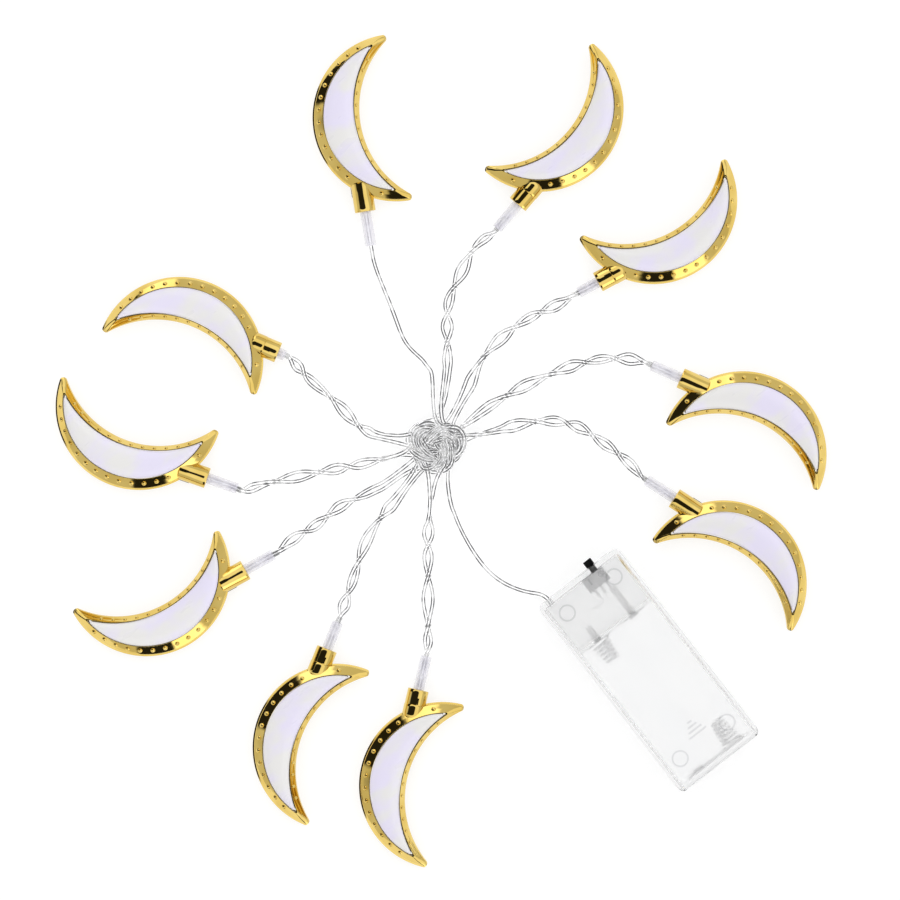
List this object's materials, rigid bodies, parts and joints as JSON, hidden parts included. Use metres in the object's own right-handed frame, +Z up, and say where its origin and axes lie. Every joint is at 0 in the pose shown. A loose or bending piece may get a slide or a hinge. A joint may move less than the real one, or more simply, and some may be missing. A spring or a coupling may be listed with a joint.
{
  "type": "moon string lights",
  "caption": "Battery string lights: gilt crescent lamps with milky windows on a clear two-wire cord gathered in a knot, fed by a clear battery box with a slide switch.",
  "frame": {"origin": "middle of the battery box's flat underside", "axes": "+Y along the battery box towards its switch end, +Z up from the table that everything lies on"},
  "size_m": [0.2784, 0.2765, 0.0194],
  "materials": {
    "gilt_plating": "gold electroplated plastic, mirror gloss",
    "milky_window": "milky translucent plastic, glossy",
    "clear_cord": "clear soft PVC over tinned wire",
    "clear_sleeve": "milky clear tubing",
    "led_resin": "cast resin, glossy",
    "clear_styrene": "clear moulded polystyrene",
    "tinned_metal": "bright tinned metal",
    "switch_metal": "satin plated",
    "black_plastic": "satin black"
  },
  "bodies": {
    "string": {"moon_01_front_shell": "gilt_plating", "moon_01_back_shell": "gilt_plating", "moon_01_diffuser": "milky_window", "moon_01_tail": "clear_cord", "moon_02_front_shell": "gilt_plating", "moon_02_back_shell": "gilt_plating", "moon_02_diffuser": "milky_window", "moon_02_tail": "clear_cord", "moon_03_front_shell": "gilt_plating", "moon_03_back_shell": "gilt_plating", "moon_03_diffuser": "milky_window", "moon_03_tail": "clear_cord", "moon_04_front_shell": "gilt_plating", "moon_04_back_shell": "gilt_plating", "moon_04_diffuser": "milky_window", "moon_04_tail": "clear_cord", "moon_05_front_shell": "gilt_plating", "moon_05_back_shell": "gilt_plating", "moon_05_diffuser": "milky_window", "moon_05_tail": "clear_cord", "moon_06_front_shell": "gilt_plating", "moon_06_back_shell": "gilt_plating", "moon_06_diffuser": "milky_window", "moon_06_tail": "clear_cord", "moon_07_front_shell": "gilt_plating", "moon_07_back_shell": "gilt_plating", "moon_07_diffuser": "milky_window", "moon_07_tail": "clear_cord", "moon_08_front_shell": "gilt_plating", "moon_08_back_shell": "gilt_plating", "moon_08_diffuser": "milky_window", "moon_08_tail": "clear_cord", "moon_09_front_shell": "gilt_plating", "moon_09_back_shell": "gilt_plating", "moon_09_diffuser": "milky_window", "moon_09_tail": "clear_cord", "moon_10_front_shell": "gilt_plating", "moon_10_back_shell": "gilt_plating", "moon_10_diffuser": "milky_window", "moon_10_tail": "clear_cord", "leds": "led_resin", "led_legs": "tinned_metal", "led_sleeves": "clear_sleeve", "battery_lead": "clear_cord", "cord_knot": "clear_cord", "battery_case": "clear_styrene", "switch_bay_lid": "clear_styrene", "switch_housing": "switch_metal", "switch_terminals": "tinned_metal", "minus_plate": "tinned_metal", "minus_spring": "tinned_metal", "plus_strip": "tinned_metal", "bridge_strip": "tinned_metal", "bridge_spring": "tinned_metal", "inner_wires": "clear_cord"},
    "cover": {"battery_cover": "clear_styrene"},
    "switch": {"switch_slider": "black_plastic"}
  },
  "joints": [
    {"name": "cover_slide", "type": "slide", "parent": "string", "child": "cover", "axis": [0, -1, 0], "range_m": [0, 0.066]},
    {"name": "switch_slide", "type": "slide", "parent": "string", "child": "switch", "axis": [-1, 0, 0], "range_m": [0, 0.003]}
  ]
}
